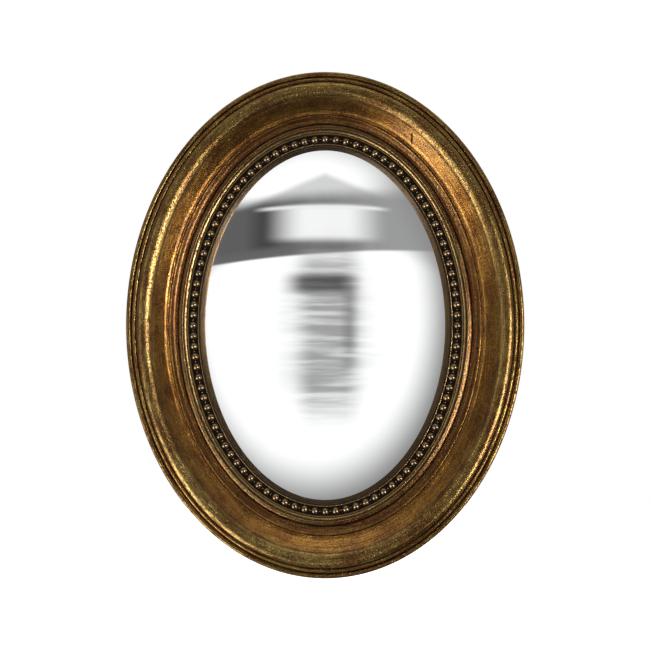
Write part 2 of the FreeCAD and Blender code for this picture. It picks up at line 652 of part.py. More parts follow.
def make_hanging_ring():
    """A closed wire ring with a straight bar that turns in the barrel, hanging down at rest."""
    place = FreeCAD.Vector(0, size("pivot_height"), size("ledge_level") - size("pivot_stand_off"))
    body = new_body("hanging_ring", STAND_UP.multiply(FreeCAD.Placement(place, FreeCAD.Rotation())))
    path = new_sketch(body, "ring_path", "XY_Plane")
    wide, corner, foot = size("ring_half_width"), size("ring_corner_radius"), size("ring_side_foot")
    inner = wide - corner
    bar = path.addGeometry(
        Part.LineSegment(FreeCAD.Vector(-inner, 0, 0), FreeCAD.Vector(inner, 0, 0)), False)
    right_round = Part.Circle(FreeCAD.Vector(inner, -corner, 0), UP, corner)
    right = path.addGeometry(Part.ArcOfCircle(right_round, 0, math.pi / 2), False)
    right_side = path.addGeometry(
        Part.LineSegment(FreeCAD.Vector(wide, -corner, 0), FreeCAD.Vector(wide, -foot, 0)), False)
    bow_round = Part.Circle(FreeCAD.Vector(0, -foot, 0), UP, wide)
    bow = path.addGeometry(Part.ArcOfCircle(bow_round, math.pi, 2 * math.pi), False)
    left_side = path.addGeometry(
        Part.LineSegment(FreeCAD.Vector(-wide, -foot, 0), FreeCAD.Vector(-wide, -corner, 0)), False)
    left_round = Part.Circle(FreeCAD.Vector(-inner, -corner, 0), UP, corner)
    left = path.addGeometry(Part.ArcOfCircle(left_round, math.pi / 2, math.pi), False)
    joins = ((bar, 2, right, 2), (right, 1, right_side, 1), (right_side, 2, bow, 2),
             (bow, 1, left_side, 1), (left_side, 2, left, 2), (left, 1, bar, 1))
    for first, end, second, start in joins:
        path.addConstraint(Sketcher.Constraint("Tangent", first, end, second, start))
    path.addConstraint(Sketcher.Constraint("Horizontal", bar))
    path.addConstraint(Sketcher.Constraint("PointOnObject", bar, 1, -1))
    path.addConstraint(Sketcher.Constraint("PointOnObject", bow, 3, -2))
    path.addConstraint(Sketcher.Constraint("Equal", right, left))
    drive(path, Sketcher.Constraint("Radius", bow, wide), "bow", "Sizes.ring_half_width")
    drive(path, Sketcher.Constraint("Radius", right, corner), "corner", "Sizes.ring_corner_radius")
    drive(path, Sketcher.Constraint("DistanceY", bow, 3, -1, 1, foot), "drop", "Sizes.ring_side_foot")
    wire = new_sketch(body, "ring_wire", "YZ_Plane")
    circle = add_circle(wire, "wire", FreeCAD.Vector(), "ring_wire_radius")
    wire.addConstraint(Sketcher.Constraint("Coincident", circle, 3, -1, 1))
    doc.recompute()
    pipe = body.newObject("PartDesign::AdditivePipe", "ring_pipe")
    pipe.Profile = wire
    pipe.Spine = (path, [f"Edge{i}" for i in range(1, len(joins) + 1)])
    return body


def make_all():
    """Every piece, in the order it goes together from the front."""
    pieces = [make_frame_moulding(), make_bead_course(), make_felt(), make_glass(), make_packing(),
              make_board(), make_base_ring()]
    places = screw_places()
    air = size("button_air")
    for number, (place, normal) in enumerate(places[:len(BUTTON_ANGLES)], start=1):
        pieces.append(make_turn_button(number, place, normal))
        pieces.append(make_screw(f"turn_button_screw_{number}", place, normal,
                                 2 * air + size("button_thickness")))
    pieces.append(make_hanger_plate())
    for number, (place, normal) in enumerate(places[len(BUTTON_ANGLES):], start=1):
        pieces.append(make_screw(f"hanger_screw_{number}", place, normal, size("plate_thickness")))
    pieces.append(make_hanging_ring())
    return pieces


def check_sweep():
    """Compares the swept moulding with its section's area times the way its middle goes round."""
    section = doc.getObject("moulding_section").Shape
    face = Part.Face(Part.Wire(Part.__sortEdges__(section.Edges)))
    middle_inset = size("half_width") - face.CenterOfMass.x
    way = doc.getObject("frame_moulding_path").Shape.Length - 2 * math.pi * middle_inset
    wanted, made = face.Area * way, doc.getObject("moulding_sweep").AddSubShape.Volume
    print(f"moulding sweep {made / 1000:.3f} cm3, section times its way {wanted / 1000:.3f} cm3")
    if abs(made / wanted - 1) > SWEEP_TOLERANCE:
        raise RuntimeError("the moulding's sweep has the wrong volume")


def main():
    pieces = make_all()
    doc.recompute()
    for thing in doc.Objects:
        if {"Invalid", "Error"} & set(thing.State):
            raise RuntimeError(f"{thing.Label} is {thing.State}")
    os.makedirs("parts", exist_ok=True)
    for piece in pieces:
        shape = piece.Shape
        if shape.isNull() or not shape.isValid() or len(shape.Solids) != 1:
            raise RuntimeError(f"{piece.Label} isn't one sound solid")
        shape.exportStep(f"parts/{piece.Label}.step")
        box = shape.BoundBox
        print(f"{piece.Label:22s} {shape.Volume / 1000:9.3f} cm3  x {box.XMin:8.2f} {box.XMax:8.2f}"
              f"  y {box.YMin:7.2f} {box.YMax:7.2f}  z {box.ZMin:8.2f} {box.ZMax:8.2f}")
    check_sweep()


main()
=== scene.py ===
import math

import bmesh
import bpy
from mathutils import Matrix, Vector, noise


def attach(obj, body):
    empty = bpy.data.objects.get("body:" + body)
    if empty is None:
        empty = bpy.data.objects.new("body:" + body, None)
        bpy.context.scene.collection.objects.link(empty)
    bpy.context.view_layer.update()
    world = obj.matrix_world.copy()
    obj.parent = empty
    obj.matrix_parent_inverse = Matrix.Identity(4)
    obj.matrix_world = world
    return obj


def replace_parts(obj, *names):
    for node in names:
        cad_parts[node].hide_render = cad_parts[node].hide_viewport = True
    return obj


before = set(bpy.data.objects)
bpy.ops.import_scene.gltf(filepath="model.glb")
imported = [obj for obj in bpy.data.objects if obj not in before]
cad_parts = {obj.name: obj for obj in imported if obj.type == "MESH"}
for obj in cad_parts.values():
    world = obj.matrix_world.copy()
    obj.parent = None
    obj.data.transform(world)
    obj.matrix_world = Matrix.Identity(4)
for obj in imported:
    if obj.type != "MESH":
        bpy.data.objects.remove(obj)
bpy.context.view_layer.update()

# The oval and the moulding's section, in millimetres, as the frame has them.  Each
# row is the inset from the outer edge, the level from the wall towards the viewer,
# and the radius of the curve to the next row: round is positive, hollow negative.
HALF_WIDTH, HALF_HEIGHT = 145.5, 185.0
FRONT_ROWS = (
    (6.0, 12.5, 0), (6.0, 14.0, -14.0), (0.0, 26.5, 0),
    (0.0, 31.5, 2.2), (3.9, 31.5, 0), (4.0, 30.7, 0), (4.6, 30.7, 0),
    (4.6, 34.8, 1.45), (7.3, 34.8, 0), (7.4, 34.2, 0), (8.0, 34.2, 0),
    (8.0, 37.33, 5.4), (11.9, 39.0, 10.1), (18.39, 36.64, 0), (26.96, 29.45, -5.3),
    (29.9, 28.2, 0), (30.6, 28.1, 0), (30.75, 27.3, 0), (31.2, 27.3, 0),
    (31.3, 27.7, 0.9), (32.6, 27.3, -5.4), (37.2, 25.4, 0),
    (37.3, 24.2, 0), (37.9, 24.2, 0), (37.9, 24.7, 4.0), (40.2, 25.8, 0.75),
    (41.5, 25.8, 0), (41.6, 25.4, 6.0), (43.7, 24.8, 0),
    (43.8, 23.9, 0), (44.3, 23.9, 0), (44.4, 24.6, 0), (45.3, 24.6, 0),
    (45.5, 22.0, 0), (52.0, 22.0, 0), (52.2, 23.9, 0), (53.1, 23.9, 0),
    (53.3, 23.2, 0), (53.9, 23.2, 0), (53.9, 18.6, 0),
)
BACK_ROWS = ((47.0, 18.6), (47.0, 10.5), (44.0, 10.5), (44.0, 7.5), (8.0, 7.5), (8.0, 12.5))
ROUND_STEPS = 720      # steps round the oval
ARC_STEP = 0.4         # longest chord on a curve of the section
FLAT_STEP = 0.9        # longest chord on a straight of the section
CORNER_BEND = 25.0     # a sharper bend than this, in degrees, is a corner
CORNER_BREAK = 0.11    # how far a sharp corner is rubbed back each way
CORNER_SHARE = 0.4     # and the largest share of a chord that goes with it
MEASURE_STEPS = 7200   # steps round the oval when lengths along it are measured
STRIP_STEPS = 360      # steps round the oval for the beads' flat strip
RELIEF_REACH, RELIEF_WIDTH = 2.6, 1.1      # how far about a point its relief is judged
BACK_INSET = 60.0      # stands for the inset on the plain back, beyond all of the front's
BACK_WAY = 5.0         # and its way along the section, counted from the front's end
SHARP_ANGLE = 38.0     # a sharper edge than this, in degrees, stays sharp in the shading
BEAD_COUNT = 96
BEAD_INSET, BEAD_LEVEL, BEAD_RADIUS = 48.6, 23.35, 2.95
PELLET_LEVEL, PELLET_RADIUS = 23.1, 0.8
BALL_SUNK = 0.1        # how far a bead's rim lies under the strip's face
BEAD_SIDE_PAINTED_SHADE, BEAD_PAINTED_SHADE_FALL = 0.9, 1.3      # the relief value at a bead's middle height and its fall to the top: painted shade, dark sides and a bright crown
BEAD_STRAY, BEAD_LOSS, BEAD_SQUASH = 0.06, 0.02, 0.012      # how unlike each other the beads are
SIDE_TOP, SIDE_INSET, SIDE_GLAZE = 31.0, 7.0, 0.13      # the frame's side, and its relief value
# The uneven hand finish: two waves, each as cycles per millimetre and a height, and the
# mean loss of gesso.  The outer edge and the sight edge keep their size.
LONG_WAVE, SHORT_WAVE, SHORT_START = (0.045, 0.10), (0.16, 0.05), (7, 3, 1)
MEAN_LOSS, LOSS_DOWN, LOSS_IN = 0.13, 0.6, 0.3
LOW_LEVEL, LOW_SHARE = 24, 0.3       # below this level the hand reached less
EDGE_HELD, SIGHT_HELD = 3.0, 53.5
STRIP_IN, STRIP_OUT, STRIP_FOOT, STRIP_TOP = 45.6, 51.9, 22.0, 22.8
DOME_X, DOME_Z, DOME_LEVEL, APEX = 225.0, 322.0, 225.0, 37.8
GLASS_INSET, GLASS_THICKNESS = 48.0, 3.0
MM = 0.001
# Old damage to the gilding, in metres on the oval's plane: a short upright crack and a nick.
CRACK_X, CRACK_LOW, CRACK_HIGH, CRACK_TAPER = 0.0633, 0.1320, 0.1405, 0.001
NICK_X, NICK_Z = 0.1112, -0.0168


def travel(points):
    """The length travelled along a row of points, at each of them."""
    travelled = [0.0]
    for a, b in zip(points, points[1:]):
        travelled.append(travelled[-1] + math.dist(a, b))
    return travelled


def oval_travel(inset):
    """The length travelled round the curve a stated inset inside the outer edge, at even steps of t."""
    return travel([oval_point(2 * math.pi * i / MEASURE_STEPS, inset)[:2] for i in range(MEASURE_STEPS + 1)])


def even_parameters(count, inset=0.0):
    """Values of t that are evenly spaced along the curve a stated inset inside the outer edge."""
    travelled = oval_travel(inset)
    found, at = [], 0
    for number in range(count):
        wanted = travelled[-1] * number / count
        while travelled[at + 1] < wanted:
            at += 1
        share = (wanted - travelled[at]) / (travelled[at + 1] - travelled[at])
        found.append(2 * math.pi * (at + share) / MEASURE_STEPS)
    return found


def oval_point(t, inset):
    """The point inset from the outer edge at the ellipse's parameter t, and the outward normal there."""
    nx, nz = math.cos(t) / HALF_WIDTH, math.sin(t) / HALF_HEIGHT
    size = math.hypot(nx, nz)
    nx, nz = nx / size, nz / size
    return HALF_WIDTH * math.cos(t) - nx * inset, HALF_HEIGHT * math.sin(t) - nz * inset, nx, nz


def place(x, z, level):
    """A point in the frame's metres, from millimetres on the oval's plane and a level above the wall."""
    return Vector((x * MM, -level * MM, z * MM))


def section_points(rows):
    """A fine walk over the section: straights and arcs cut into short chords, sharp corners rubbed back."""
    raw = []
    for (inset, level, radius), (to_inset, to_level, _) in zip(rows, rows[1:]):
        a, b = Vector((inset, level)), Vector((to_inset, to_level))
        chord = b - a
        if radius:
            half = chord.length / 2
            side = Vector((chord.y, -chord.x)).normalized() * (1 if radius > 0 else -1)
            centre = (a + b) / 2 + side * math.sqrt(max(radius * radius - half * half, 0))
            start = math.atan2(a.y - centre.y, a.x - centre.x)
            turn = (math.atan2(b.y - centre.y, b.x - centre.x) - start + math.pi) % (2 * math.pi) - math.pi
            count = max(2, math.ceil(abs(turn * radius) / ARC_STEP))
            piece = [centre + Vector((math.cos(start + turn * i / count), math.sin(start + turn * i / count)))
                     * abs(radius) for i in range(count)]
        else:
            count = max(1, math.ceil(chord.length / FLAT_STEP))
            piece = [a + chord * (i / count) for i in range(count)]
        raw.extend(piece)
    raw.append(Vector(rows[-1][:2]))
    out = [raw[0]]
    for before, here, after in zip(raw, raw[1:], raw[2:]):
        back, on = before - here, after - here
        bend = math.pi - back.angle(on)
        if bend > math.radians(CORNER_BEND):
            cut_back = min(CORNER_BREAK, back.length * CORNER_SHARE)
            cut_on = min(CORNER_BREAK, on.length * CORNER_SHARE)
            p, q = here + back.normalized() * cut_back, here + on.normalized() * cut_on
            out.extend([p, (p + q) / 4 + here / 2, q])
        else:
            out.append(here)
    out.append(raw[-1])
    return out


def relief(points):
    """For each point of a section, how far it lies in a hollow (positive) or on a ridge (negative)."""
    found = []
    for here in points:
        total, weight = 0.0, 0.0
        for other in points:
            gap = other.x - here.x
            if abs(gap) < RELIEF_REACH:
                w = math.exp(-(gap / RELIEF_WIDTH) ** 2)
                total, weight = total + other.y * w, weight + w
        on_side = here.y < SIDE_TOP and here.x < SIDE_INSET
        found.append(SIDE_GLAZE if on_side else total / weight - here.y)
    return found


def new_object(name, mesh, material=None):
    """An object in the scene with this mesh, and a material where one is given."""
    made = bpy.data.objects.new(name, mesh)
    bpy.context.scene.collection.objects.link(made)
    if material:
        made.data.materials.append(material)
    return made


def smooth(mesh):
    """Smooth shading with the sharp edges kept."""
    mesh.shade_smooth()
    mesh.set_sharp_from_angle(angle=math.radians(SHARP_ANGLE))


def store(mesh, name, kind, values):
    """Keeps one value or vector per vertex for the materials."""
    attribute = mesh.attributes.new(name, kind, "POINT")
    if kind == "FLOAT_VECTOR":
        attribute.data.foreach_set("vector", [c for v in values for c in v])
    else:
        attribute.data.foreach_set("value", values)


def hand_finish(at, inset, level):
    """How far the hand moved a point of the front: inwards, and down from its level."""
    wave = noise.noise(at * LONG_WAVE[0]) * LONG_WAVE[1]
    wave += noise.noise(at * SHORT_WAVE[0] + Vector(SHORT_START)) * SHORT_WAVE[1]
    share = min(1.0, inset / EDGE_HELD)
    down = (MEAN_LOSS + wave) * share * LOSS_DOWN * (1.0 if level > LOW_LEVEL else LOW_SHARE)
    return LOSS_IN * abs(wave) * share, 0.0 if inset > SIGHT_HELD else down


def make_moulding():
    """The carved ring: its section carried square round the oval, uneven as hand finishing leaves it."""
    front = section_points(FRONT_ROWS)
    travelled = travel(front)
    section = [(p.x, p.y, h, d, True) for p, h, d in zip(front, relief(front), travelled)]
    section += [(inset, level, 0.0, travelled[-1] + BACK_WAY, False) for inset, level in BACK_ROWS]
    vertices, run, hollows, insets = [], [], [], []
    ring_radius = oval_travel(0.0)[-1] / (2 * math.pi)
    for number, t in enumerate(even_parameters(ROUND_STEPS)):
        turn = 2 * math.pi * number / ROUND_STEPS
        for inset, level, hollow, way, is_front in section:
            at = Vector((ring_radius * math.cos(turn), ring_radius * math.sin(turn), way))
            if is_front:
                inward, down = hand_finish(at, inset, level)
                x, z, _, _ = oval_point(t, inset + inward)
                level -= down
            else:
                x, z = (HALF_WIDTH - inset) * math.cos(t), (HALF_HEIGHT - inset) * math.sin(t)
            vertices.append(place(x, z, level))
            run.append(at)
            hollows.append(hollow)
            insets.append(inset if is_front else BACK_INSET)
    count = len(section)
    faces = []
    for i in range(ROUND_STEPS):
        a, b = i * count, ((i + 1) % ROUND_STEPS) * count
        for j in range(count):
            k = (j + 1) % count
            faces.append((a + j, a + k, b + k, b + j))
    mesh = bpy.data.meshes.new("gilded_moulding")
    mesh.from_pydata(vertices, [], faces)
    mesh.update()
    store(mesh, "run", "FLOAT_VECTOR", run)
    store(mesh, "hollow", "FLOAT", hollows)
    store(mesh, "inset", "FLOAT", insets)
    slots = [0 if j < len(front) - 1 else 1 for j in range(count)] * ROUND_STEPS
    mesh.polygons.foreach_set("material_index", slots)
    smooth(mesh)
    return new_object("gilded_moulding", mesh)


def add_ball(bm, layers, centre, level, radius, squash, shade, rings, segments):
    """A ball on the strip, cut off just under the strip's face."""
    vertical = Vector((0, -1, 0))
    span = math.acos(max(-1.0, min(1.0, (STRIP_TOP - BALL_SUNK - level) / radius)))
    top = bm.verts.new(centre + vertical * radius * MM)
    rows = []
    for i in range(1, rings + 1):
        polar = span * i / rings
        row = []
        for j in range(segments):
            turn = 2 * math.pi * j / segments
            offset = Vector((math.cos(turn) * math.sin(polar) * squash, -math.cos(polar),
                             math.sin(turn) * math.sin(polar) / squash))
            row.append(bm.verts.new(centre + offset * radius * MM))
        rows.append(row)
    for j in range(segments):
        bm.faces.new((top, rows[0][j], rows[0][(j + 1) % segments]))
    for a, b in zip(rows, rows[1:]):
        for j in range(segments):
            k = (j + 1) % segments
            bm.faces.new((a[j], b[j], b[k], a[k]))
    for v in [top] + [v for row in rows for v in row]:
        polar_share = (v.co - centre).dot(vertical) / (radius * MM)
        # Painted shade: dark down the bead's sides to the strip, light at its crown.
        v[layers["hollow"]] = BEAD_SIDE_PAINTED_SHADE - BEAD_PAINTED_SHADE_FALL * polar_share
        v[layers["bead"]] = shade


def make_beads():
    """The beaded strip: large beads with a small pellet between each two, on a flat band."""
    bm = bmesh.new()
    layers = {name: bm.verts.layers.float.new(name) for name in ("hollow", "bead")}
    corners = ((STRIP_IN, STRIP_FOOT), (STRIP_IN, STRIP_TOP), (STRIP_OUT, STRIP_TOP), (STRIP_OUT, STRIP_FOOT))
    rings = []
    for t in even_parameters(STRIP_STEPS):
        ring = []
        for inset, level in corners:
            x, z, _, _ = oval_point(t, inset)
            v = bm.verts.new(place(x, z, level))
            v[layers["hollow"]], v[layers["bead"]] = 1.0, 0.5
            ring.append(v)
        rings.append(ring)
    for a, b in zip(rings, rings[1:] + rings[:1]):
        for j in range(len(corners)):
            k = (j + 1) % len(corners)
            bm.faces.new((a[j], a[k], b[k], b[j]))
    for number, t in enumerate(even_parameters(2 * BEAD_COUNT, BEAD_INSET)):
        large = number % 2 == 0
        level = BEAD_LEVEL if large else PELLET_LEVEL
        radius = BEAD_RADIUS if large else PELLET_RADIUS
        shade = 0.5 + 0.5 * noise.noise(Vector((number * 1.37, 4.1, 0.3)))
        uneven = noise.noise(Vector((number * 2.91, 0.7, 5.2)))
        x, z, _, _ = oval_point(t, BEAD_INSET + BEAD_STRAY * uneven)
        radius *= 1 - BEAD_LOSS * abs(uneven)
        rings, segments = (14, 28) if large else (6, 12)
        squash = 1 + BEAD_SQUASH * uneven
        add_ball(bm, layers, place(x, z, level), level, radius, squash, shade, rings, segments)
    mesh = bpy.data.meshes.new("beaded_strip")
    bm.normal_update()
    bm.to_mesh(mesh)
    bm.free()
    smooth(mesh)
    return new_object("beaded_strip", mesh)


def dome_level(x, z, shrink=0.0):
    """Level of the glass's front, or of its back where the dome is shrunk."""
    a, b, c = DOME_X - shrink, DOME_Z - shrink, DOME_LEVEL - shrink
    return APEX - DOME_LEVEL + c * math.sqrt(1 - (x / a) ** 2 - (z / b) ** 2)


def make_glass():
    """The bent glass: a smooth shallow dome with a ground rim and its back face."""
    rings, segments = 56, 240
    bm = bmesh.new()
    sides = []
    for shrink in (0.0, GLASS_THICKNESS):
        centre = bm.verts.new(place(0, 0, dome_level(0, 0, shrink)))
        rows = []
        for i in range(1, rings + 1):
            share = i / rings
            row = []
            for j in range(segments):
                t = 2 * math.pi * j / segments
                x = (HALF_WIDTH - GLASS_INSET) * math.cos(t) * share
                z = (HALF_HEIGHT - GLASS_INSET) * math.sin(t) * share
                row.append(bm.verts.new(place(x, z, dome_level(x, z, shrink))))
            rows.append(row)
        sides.append((centre, rows))
    for (centre, rows), flip in zip(sides, (False, True)):
        def add(*corners):
            bm.faces.new(corners[::-1] if flip else corners)
        for j in range(segments):
            add(centre, rows[0][j], rows[0][(j + 1) % segments])
        for a, b in zip(rows, rows[1:]):
            for j in range(segments):
                k = (j + 1) % segments
                add(a[j], b[j], b[k], a[k])
    front, back = sides[0][1][-1], sides[1][1][-1]
    for j in range(segments):
        k = (j + 1) % segments
        bm.faces.new((front[j], back[j], back[k], front[k]))
    bm.normal_update()
    mesh = bpy.data.meshes.new("mirror_glass")
    bm.to_mesh(mesh)
    bm.free()
    smooth(mesh)
    return new_object("mirror_glass", mesh)


class Shader:
    """The node tree of a material or the world, built with short calls."""

    def __init__(self, owner):
        owner.use_nodes = True
        self.owner = owner
        self.tree = owner.node_tree
        self.surface = self.tree.nodes.get("Principled BSDF")

    def feed(self, socket, value):
        if isinstance(value, bpy.types.NodeSocket):
            self.tree.links.new(value, socket)
        elif isinstance(value, tuple) and len(value) == 3 and len(socket.default_value) == 4:
            socket.default_value = (*value, 1.0)
        else:
            socket.default_value = value

    def node(self, kind, inputs=(), **settings):
        made = self.tree.nodes.new("ShaderNode" + kind)
        for key, value in settings.items():
            setattr(made, key, value)
        for key, value in dict(inputs).items():
            self.feed(made.inputs[key], value)
        return made

    def attribute(self, name, output="Fac"):
        return self.node("Attribute", attribute_name=name).outputs[output]

    def where(self):
        return self.node("TexCoord").outputs["Object"]

    def stretch(self, vector, scale):
        return self.node("VectorMath", {0: vector, 1: scale}, operation="MULTIPLY").outputs[0]

    def noise(self, vector, scale, detail, rough, distortion=0.0):
        return self.node("TexNoise", {"Vector": vector, "Scale": scale, "Detail": detail,
                                      "Roughness": rough, "Distortion": distortion}).outputs["Fac"]

    def step(self, value, low, high, to_low=0.0, to_high=1.0):
        return self.node("MapRange", {"Value": value, "From Min": low, "From Max": high, "To Min": to_low,
                                      "To Max": to_high}, interpolation_type="SMOOTHSTEP").outputs["Result"]

    def maths(self, operation, a, b=0.0):
        return self.node("Math", {0: a, 1: b}, operation=operation).outputs[0]

    def plus(self, a, b):
        return self.maths("ADD", a, b)

    def minus(self, a, b):
        return self.maths("SUBTRACT", a, b)

    def times(self, a, b):
        return self.maths("MULTIPLY", a, b)

    def over(self, a, b):
        return self.maths("DIVIDE", a, b)

    def larger(self, a, b):
        return self.maths("MAXIMUM", a, b)

    def mix(self, share, a, b):
        made = self.node("Mix", data_type="RGBA")
        self.feed(made.inputs[0], share)
        self.feed(made.inputs[6], a)
        self.feed(made.inputs[7], b)
        return made.outputs[2]

    def bump(self, height, strength, distance):
        inputs = {"Height": height, "Strength": strength, "Distance": distance}
        return self.node("Bump", inputs).outputs["Normal"]

    def set(self, **values):
        """Feeds the surface's sockets, and gives the material back."""
        names = {"color": "Base Color", "metallic": "Metallic", "rough": "Roughness", "normal": "Normal",
                 "specular": "Specular IOR Level", "coat": "Coat Weight", "coat_rough": "Coat Roughness"}
        for key, value in values.items():
            self.feed(self.surface.inputs[names[key]], value)
        return self.owner


def tone(red, green, blue):
    """A colour written in screen bytes, as the linear values that a shader takes."""
    return tuple(((v / 255 + 0.055) / 1.055) ** 2.4 if v > 10 else v / 255 / 12.92
                 for v in (red, green, blue))


def toned(s, share, colour, value):
    """The colour, gone over to a plain grey of this value in the stated share."""
    return s.mix(share, colour, value if isinstance(value, bpy.types.NodeSocket) else (value,) * 3)


def grey(s, value):
    return s.node("CombineXYZ", {0: value, 1: value, 2: value}).outputs[0]


def length(s, a, b):
    """The length of a flat vector with these two parts."""
    return s.maths("SQRT", s.plus(s.times(a, a), s.times(b, b)))


def along(s, way, axis):
    """How far a direction goes along an axis."""
    return s.node("VectorMath", {0: way, 1: tuple(axis)}, operation="DOT_PRODUCT").outputs["Value"]


def band(s, value, rise_from, rise_to, fall_from, fall_to):
    """A share that rises to one over the first two values, and is gone again at the third, having
    fallen from the fourth."""
    return s.times(s.step(value, rise_from, rise_to), s.step(value, fall_from, fall_to))


def gilding():
    """Leaf gold over a red-brown ground: olive on the outer roll and redder in the scoop, with a
    brown glaze in the hollows, patches worn to the ground, pits and short scratches; painted highlights
    on ridges and on the roll's lower left, and painted shade along the sight edge."""
    s = Shader(bpy.data.materials.new("antiqued_gilding"))
    run, hollow, inset = s.attribute("run", "Vector"), s.attribute("hollow"), s.attribute("inset")

    # Unevenness of the leaf: all but the last are drawn out round the oval.
    streak = s.noise(s.stretch(run, (0.02, 0.02, 0.85)), 1.0, 6, 0.66)
    brush = s.noise(s.stretch(run, (0.06, 0.06, 1.7)), 1.0, 5, 0.75)
    cloud = s.noise(s.stretch(run, (0.045, 0.045, 0.09)), 1.0, 5, 0.6)
    grain = s.noise(s.stretch(run, (0.9, 0.9, 1.7)), 1.0, 6, 0.8)
    fine = s.noise(run, 1.5, 2, 0.5)

    # The roll is painted paler at its lower left, a painted highlight on that side only.
    x, _, z = s.node("SeparateXYZ", {0: s.where()}).outputs
    lower_left = s.step(s.plus(s.times(x, 0.85), s.times(z, 0.45)), -0.04, -0.13, 0, 0.6)
    roll_painted_highlight = s.times(lower_left, band(s, inset, 9.0, 11.5, 19.0, 15.0))

    # Each layer: where it lies and how strongly, and its colour.
    gold = s.mix(s.step(inset, 15.5, 23.0), tone(160, 130, 66), tone(176, 122, 48))
    for share, colour in (
        (roll_painted_highlight, tone(206, 176, 104)),
        (s.step(inset, 31.0, 34.5, 0, 0.70), tone(92, 50, 20)),
        (s.step(inset, 38.2, 39.6, 0, 0.85), tone(104, 86, 50)),
        (s.step(cloud, 0.42, 0.60, 0, 0.65), tone(110, 54, 13)),
        (s.step(streak, 0.48, 0.64, 0, 0.6), tone(66, 34, 10)),
        (s.step(streak, 0.44, 0.30, 0, 0.45), tone(200, 166, 96)),
        (s.step(brush, 0.48, 0.62, 0, 0.7), tone(52, 27, 10)),
        (s.step(grain, 0.50, 0.62, 0, 0.8), tone(44, 23, 9)),
        (s.step(fine, 0.48, 0.66, 0, 0.6), tone(54, 30, 11)),
        (s.step(fine, 0.46, 0.32, 0, 0.4), tone(208, 170, 100)),
        (s.step(inset, 50.5, 51.6, 0, 0.8), tone(80, 62, 36)),
    ):
        gold = s.mix(share, gold, colour)

    # Ridges painted bright, among them the line just inside the beads: painted highlights.
    ridge_painted_highlight = s.times(s.step(hollow, -0.15, -0.42, 0, 0.75), band(s, inset, 38.5, 39.6, 50.0, 49.0))
    ridge_painted_highlight = s.larger(ridge_painted_highlight, band(s, inset, 51.7, 52.0, 52.7, 52.4))
    gold = s.mix(ridge_painted_highlight, gold, tone(186, 154, 96))

    # Umber glaze left in the hollows and in the beads' channel, and a dark band along the sight edge's groove
    # that is painted shade.
    glaze_and_shade_depth = s.plus(hollow, s.times(s.minus(grain, 0.5), 0.6))
    channel = band(s, inset, 43.5, 45.4, 51.9, 51.6)
    sight_edge_painted_shade = band(s, inset, 52.7, 53.0, 53.85, 53.7)
    glaze_and_painted_shade = s.larger(s.step(glaze_and_shade_depth, 0.02, 0.30, 0, 0.97), s.times(channel, 0.8))
    glaze_and_painted_shade = s.times(glaze_and_painted_shade, s.step(inset, 53.95, 53.6, 0.25, 1.0))
    # The band along the sight edge is painted shade.
    glaze_and_painted_shade = s.larger(glaze_and_painted_shade, s.times(sight_edge_painted_shade, 0.85))
    gold = s.mix(glaze_and_painted_shade, gold, tone(20, 11, 6))

    # Places where ridges are worn to the red-brown ground.
    patchy = s.noise(s.stretch(run, (0.16, 0.16, 0.45)), 1.0, 6, 0.72)
    worn = s.times(s.step(hollow, -0.08, -0.36), s.step(patchy, 0.52, 0.62))
    gold = s.mix(s.times(worn, 0.6), gold, tone(92, 44, 24))

    # Pits, thickest on the roll, short scratches across it, the crack and the nick.
    pit_field = s.noise(s.stretch(run, (0.03, 0.03, 0.06)), 1.0, 3, 0.5)
    pit_share = s.step(pit_field, 0.38, 0.60, 0.15, 1.0)
    pit_share = s.larger(pit_share, band(s, inset, 11.0, 13.0, 19.5, 16.5))
    pits = s.step(s.noise(s.stretch(run, (0.85, 0.85, 1.5)), 1.0, 4, 0.7), 0.57, 0.62)
    ticks = s.step(s.noise(s.stretch(run, (2.2, 2.2, 0.45)), 1.0, 3, 0.6), 0.58, 0.64)
    ticks = s.times(ticks, band(s, inset, 10.5, 13.0, 21.0, 16.0))
    pits = s.larger(s.times(pits, pit_share), s.larger(ticks, damage(s)))
    gold = s.mix(pits, gold, tone(22, 11, 6))

    # Where the leaf is gone or covered, the surface is dull and hardly metallic.
    bare = s.larger(s.times(worn, 0.7), s.larger(pits, glaze_and_painted_shade))
    height = s.minus(s.plus(s.times(fine, 0.7), s.times(brush, 0.5)), pits)
    return s.set(color=gold, metallic=s.minus(0.97, s.times(bare, 0.92)),
                 rough=s.plus(s.step(grain, 0.30, 0.72, 0.13, 0.34), s.times(bare, 0.45)),
                 normal=s.bump(height, 0.6, 0.00022), specular=0.2,
                 coat=s.step(bare, 0.5, 0.0, 0.0, 0.20), coat_rough=0.14)


def damage(s):
    """A hairline crack across the scoop and a small nick in the hollow within it, by their
    places on the oval's plane."""
    x, _, z = s.node("SeparateXYZ", {0: s.where()}).outputs
    waver = s.times(s.minus(s.noise(s.where(), 600.0, 2, 0.5), 0.5), 0.0016)
    off_line = s.maths("ABSOLUTE", s.minus(s.plus(x, waver), CRACK_X))
    crack = s.times(s.step(off_line, 0.0008, 0.0002), s.step(z, CRACK_LOW, CRACK_LOW + CRACK_TAPER))
    crack = s.times(crack, s.step(z, CRACK_HIGH, CRACK_HIGH - CRACK_TAPER))
    off_nick = length(s, s.minus(x, NICK_X), s.minus(z, NICK_Z))
    return s.larger(crack, s.step(s.plus(off_nick, waver), 0.0012, 0.0006))


